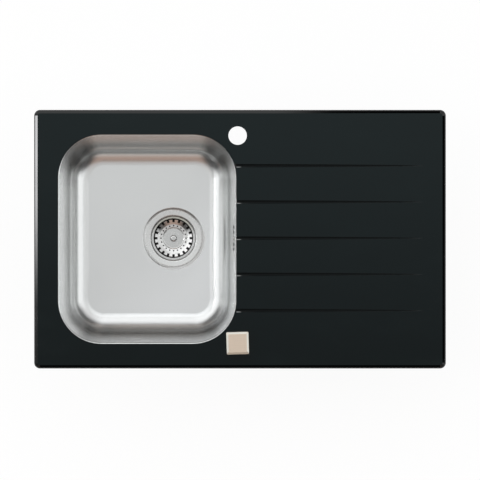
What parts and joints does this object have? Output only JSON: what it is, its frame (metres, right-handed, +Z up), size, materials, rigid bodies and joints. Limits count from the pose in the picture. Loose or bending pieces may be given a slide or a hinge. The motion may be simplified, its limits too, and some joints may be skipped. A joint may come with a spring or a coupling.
{
  "type": "kitchen sink",
  "caption": "Inset kitchen sink with a black glass top, pressed steel bowl, grooved drainer, tap hole and a square knob that lifts the basket waste.",
  "frame": {"origin": "middle of the glass outline, on the worktop surface that the sealing strip rests on", "axes": "+X along the sink to the drainer, +Y to the tap side, +Z up"},
  "size_m": [0.78, 0.49, 0.2925],
  "materials": {
    "black_glass": "gloss, ground edges",
    "brushed_steel": "fine brushed",
    "polished_steel": "polished",
    "satin_champagne": "satin metallic",
    "zinc_steel": "zinc plated",
    "pin_brass": "machined",
    "wire_steel": "stranded",
    "waste_plastic": "moulded",
    "lever_plastic": "moulded",
    "hose_plastic": "ribbed",
    "sheath_plastic": "smooth",
    "seal_rubber": "matt",
    "pad_rubber": "matt",
    "foam_rubber": "closed-cell foam",
    "bond_sealant": "cured sealant"
  },
  "bodies": {
    "sink": {"body_seal": "seal_rubber", "bowl": "brushed_steel", "bowl_bond": "bond_sealant", "bush_washer": "seal_rubber", "cable_ferrules": "zinc_steel", "cable_housing": "lever_plastic", "cable_sheath": "sheath_plastic", "cable_wire": "wire_steel", "clip_studs": "zinc_steel", "clip_washers": "zinc_steel", "clip_wing_nuts": "zinc_steel", "control_bush": "pin_brass", "control_nut": "pin_brass", "flange_seal": "seal_rubber", "glass_top": "black_glass", "guide_screw": "polished_steel", "hose_clips": "zinc_steel", "housing_cover": "lever_plastic", "nut_washer": "seal_rubber", "outlet_tail": "waste_plastic", "overflow_gasket": "seal_rubber", "overflow_hose": "hose_plastic", "overflow_housing": "waste_plastic", "overflow_screw": "polished_steel", "rail_front": "zinc_steel", "rail_left": "zinc_steel", "rail_rear": "zinc_steel", "rail_right": "zinc_steel", "sealing_strip": "foam_rubber", "shaft_gland": "waste_plastic", "shaft_seal": "seal_rubber", "sound_pad": "pad_rubber", "waste_body": "waste_plastic", "waste_flange": "polished_steel"},
    "control": {"control_knob": "satin_champagne", "knob_screw": "zinc_steel", "control_spindle": "pin_brass", "cable_drum": "lever_plastic", "drum_wire": "wire_steel", "drum_screw": "zinc_steel"},
    "lever": {"lever_shaft": "pin_brass", "lift_finger": "lever_plastic", "crank_arm": "lever_plastic", "crank_screw": "zinc_steel"},
    "lift_pin": {"lift_pin": "pin_brass"},
    "basket": {"strainer_basket": "polished_steel", "basket_seal": "seal_rubber", "basket_button": "polished_steel", "basket_stem": "pin_brass"},
    "cable_end": {"wire_end": "wire_steel"},
    "claw_1": {"clip_claw_1": "zinc_steel"},
    "claw_2": {"clip_claw_2": "zinc_steel"},
    "claw_3": {"clip_claw_3": "zinc_steel"},
    "claw_4": {"clip_claw_4": "zinc_steel"},
    "claw_5": {"clip_claw_5": "zinc_steel"},
    "claw_6": {"clip_claw_6": "zinc_steel"},
    "claw_7": {"clip_claw_7": "zinc_steel"},
    "claw_8": {"clip_claw_8": "zinc_steel"}
  },
  "joints": [
    {"name": "knob_turn", "type": "hinge", "parent": "sink", "child": "control", "pos_m": [-0.0045, -0.19625, 0.02], "axis": [0, 0, -1], "range_deg": [0, 90]},
    {"name": "lever_swing", "type": "hinge", "parent": "sink", "child": "lever", "pos_m": [-0.11018, 0.002, -0.21492], "axis": [0, 1, 0], "range_deg": [0, 30.2]},
    {"name": "pin_lift", "type": "slide", "parent": "sink", "child": "lift_pin", "axis": [0, 0, 1], "range_m": [0, 0.0106]},
    {"name": "wire_pull", "type": "slide", "parent": "sink", "child": "cable_end", "axis": [1, 0, 0], "range_m": [0, 0.0143]},
    {"name": "basket_lift_out", "type": "slide", "parent": "lift_pin", "child": "basket", "axis": [0, 0, 1], "range_m": [0, 0.22]},
    {"name": "claw_1_swing", "type": "hinge", "parent": "sink", "child": "claw_1", "pos_m": [-0.27, -0.222, -0.0365], "axis": [0, 0, -1], "range_deg": [0, 90]},
    {"name": "claw_2_swing", "type": "hinge", "parent": "sink", "child": "claw_2", "pos_m": [0.09, -0.222, -0.0365], "axis": [0, 0, -1], "range_deg": [0, 90]},
    {"name": "claw_3_swing", "type": "hinge", "parent": "sink", "child": "claw_3", "pos_m": [0.29, -0.222, -0.0365], "axis": [0, 0, -1], "range_deg": [0, 90]},
    {"name": "claw_4_swing", "type": "hinge", "parent": "sink", "child": "claw_4", "pos_m": [-0.27, 0.222, -0.0365], "axis": [0, 0, 1], "range_deg": [0, 90]},
    {"name": "claw_5_swing", "type": "hinge", "parent": "sink", "child": "claw_5", "pos_m": [0.09, 0.222, -0.0365], "axis": [0, 0, 1], "range_deg": [0, 90]},
    {"name": "claw_6_swing", "type": "hinge", "parent": "sink", "child": "claw_6", "pos_m": [0.29, 0.222, -0.0365], "axis": [0, 0, 1], "range_deg": [0, 90]},
    {"name": "claw_7_swing", "type": "hinge", "parent": "sink", "child": "claw_7", "pos_m": [-0.367, 0, -0.0365], "axis": [0, 0, 1], "range_deg": [0, 90]},
    {"name": "claw_8_swing", "type": "hinge", "parent": "sink", "child": "claw_8", "pos_m": [0.367, 0, -0.0365], "axis": [0, 0, -1], "range_deg": [0, 90]}
  ],
  "couplings": [
    {"joint": "lever_swing", "follows": "knob_turn", "ratio": 0.33333},
    {"joint": "pin_lift", "follows": "knob_turn", "m_per_rad": 0.0066667},
    {"joint": "wire_pull", "follows": "knob_turn", "m_per_rad": 0.009}
  ]
}
